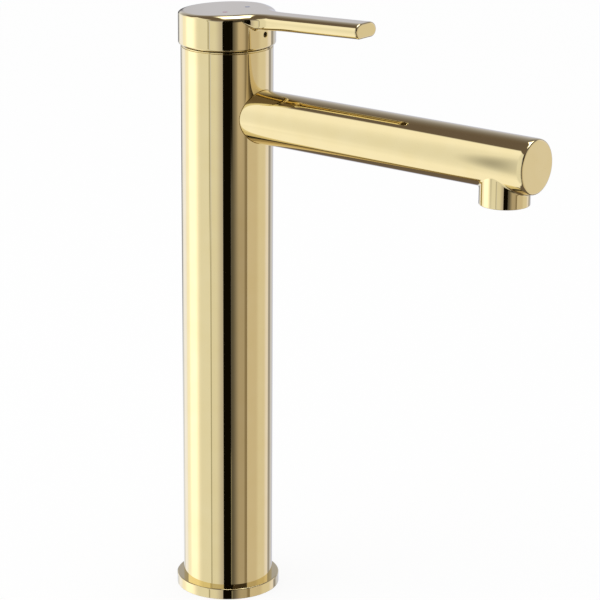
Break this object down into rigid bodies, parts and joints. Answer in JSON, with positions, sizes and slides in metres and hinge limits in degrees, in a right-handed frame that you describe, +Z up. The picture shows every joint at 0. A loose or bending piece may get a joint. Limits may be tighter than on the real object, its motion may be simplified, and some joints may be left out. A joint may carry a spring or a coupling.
{
  "type": "single-lever basin mixer tap",
  "caption": "Tall single-lever basin mixer with a straight round spout, a flat bar lever on a round hub, a working disc cartridge and threaded supply inlets.",
  "frame": {"origin": "centre of the base flange's underside, where the tap stands on the deck", "axes": "+Z up along the column, +X along the spout and the closed lever, +Y to the cold side"},
  "size_m": [0.2054, 0.0518, 0.3004],
  "materials": {
    "gold": "mirror-polished pale gold coating on brass",
    "brass": "machined",
    "copper": "drawn tube",
    "steel": "turned",
    "aerator_metal": "nickel-plated",
    "rubber": "moulded",
    "ceramic": "lapped",
    "white_plastic": "moulded",
    "grey_plastic": "moulded",
    "hot_enamel": "filled enamel",
    "cold_enamel": "filled enamel"
  },
  "bodies": {
    "body": {"base_flange": "gold", "base_gasket": "rubber", "flange_o_ring": "rubber", "inlet_block": "brass", "column": "gold", "hot_riser": "copper", "cold_riser": "copper", "riser_seals": "rubber", "cartridge_housing": "brass", "housing_o_ring": "rubber", "spout_tube": "gold", "spout_coupling": "brass", "coupling_o_ring": "rubber", "spout_end_cap": "gold", "outlet_nozzle": "gold", "aerator_housing": "aerator_metal", "aerator_honeycomb": "white_plastic", "aerator_screen": "grey_plastic", "aerator_seal": "rubber", "cartridge_base": "white_plastic", "port_seals": "rubber", "fixed_disc": "ceramic", "cartridge_shell": "grey_plastic", "retaining_nut": "brass", "cover_ring": "gold", "cover_ring_seal": "rubber"},
    "swivel": {"stem_turret": "white_plastic", "pivot_pin": "steel"},
    "disc": {"moving_disc": "ceramic", "disc_carrier": "grey_plastic"},
    "lever": {"stem": "steel", "handle": "gold", "grub_screw": "steel", "hot_mark": "hot_enamel", "cold_mark": "cold_enamel"}
  },
  "joints": [
    {"name": "handle_turn", "type": "hinge", "parent": "body", "child": "swivel", "pos_m": [0, 0, 0.272], "axis": [0, 0, 1], "range_deg": [-50, 50]},
    {"name": "lever_lift", "type": "hinge", "parent": "swivel", "child": "lever", "pos_m": [0, 0, 0.272], "axis": [0, -1, 0], "range_deg": [0, 25]},
    {"name": "disc_slide", "type": "slide", "parent": "swivel", "child": "disc", "axis": [1, 0, 0], "range_m": [0, 0.0035]}
  ],
  "couplings": [
    {"joint": "disc_slide", "follows": "lever_lift", "m_per_rad": 0.008}
  ]
}
